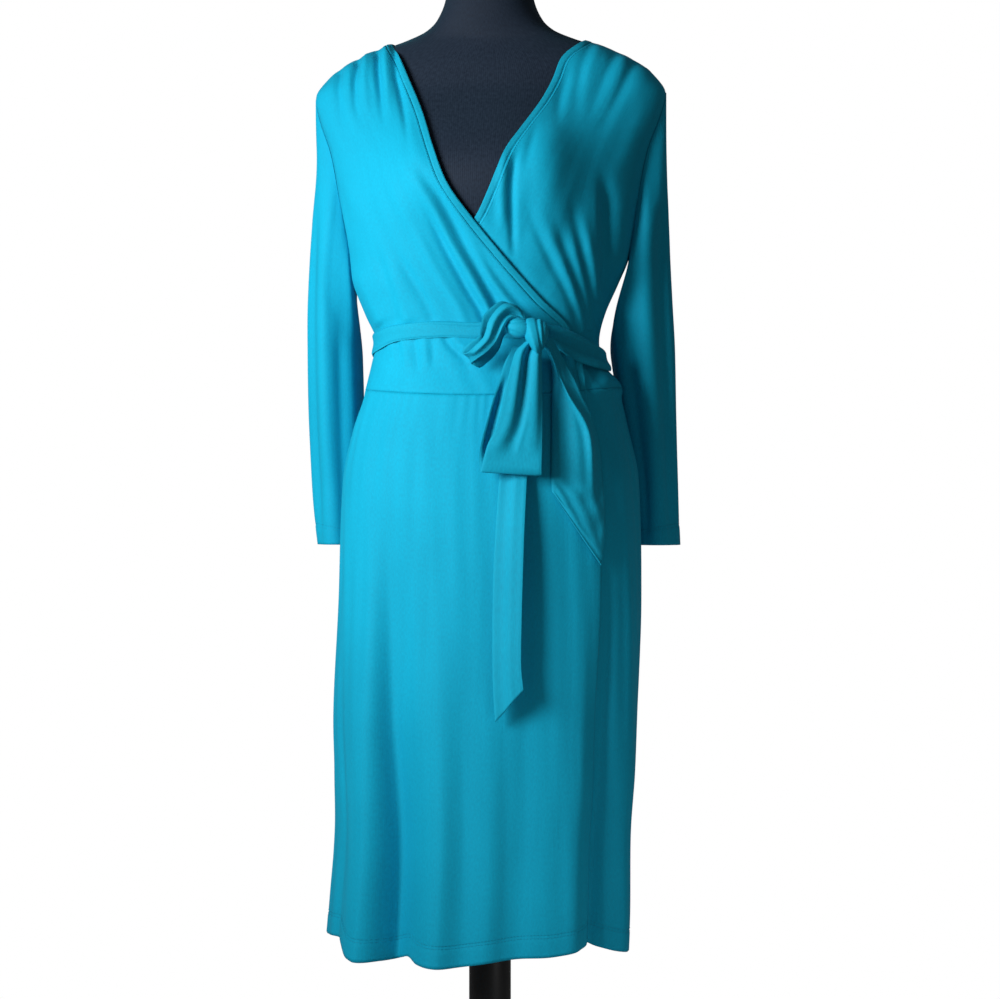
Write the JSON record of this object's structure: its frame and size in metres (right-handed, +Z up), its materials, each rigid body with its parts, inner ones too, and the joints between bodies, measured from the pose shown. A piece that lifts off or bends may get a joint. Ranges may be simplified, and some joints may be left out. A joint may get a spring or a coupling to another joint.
{
  "type": "wrap dress on a dress form",
  "caption": "Jersey wrap dress with a V neck, bracelet sleeves and a sash tied in a bow, worn by a limbless dress form on a pole and round base.",
  "frame": {"origin": "centre of the base's underside, on the floor", "axes": "+Z up along the pole, -Y towards the front of the dress, +X towards the viewer's right of the front"},
  "size_m": [0.4275, 0.38, 1.4663],
  "materials": {
    "dress_jersey": "smooth teal viscose jersey with a soft sheen",
    "neck_band": "the same jersey folded double and topstitched",
    "sash_jersey": "the same jersey doubled for the sash",
    "form_cover": "black knit cover stretched over the form",
    "stand_metal": "satin black paint"
  },
  "bodies": {
    "root": {"form_body": "form_cover", "form_cap": "stand_metal", "stand_pole": "stand_metal", "stand_base": "stand_metal", "bodice_back": "dress_jersey", "front_upper": "dress_jersey", "front_under": "dress_jersey", "band_upper": "neck_band", "band_under": "neck_band", "band_back": "neck_band", "sleeve_left": "dress_jersey", "sleeve_right": "dress_jersey", "skirt_upper": "dress_jersey", "skirt_under": "dress_jersey", "skirt_back": "dress_jersey", "sash_belt": "sash_jersey", "sash_knot": "sash_jersey", "sash_loop_side": "sash_jersey", "sash_loop_down": "sash_jersey", "sash_tail_long": "sash_jersey", "sash_tail_wide": "sash_jersey"}
  },
  "joints": []
}
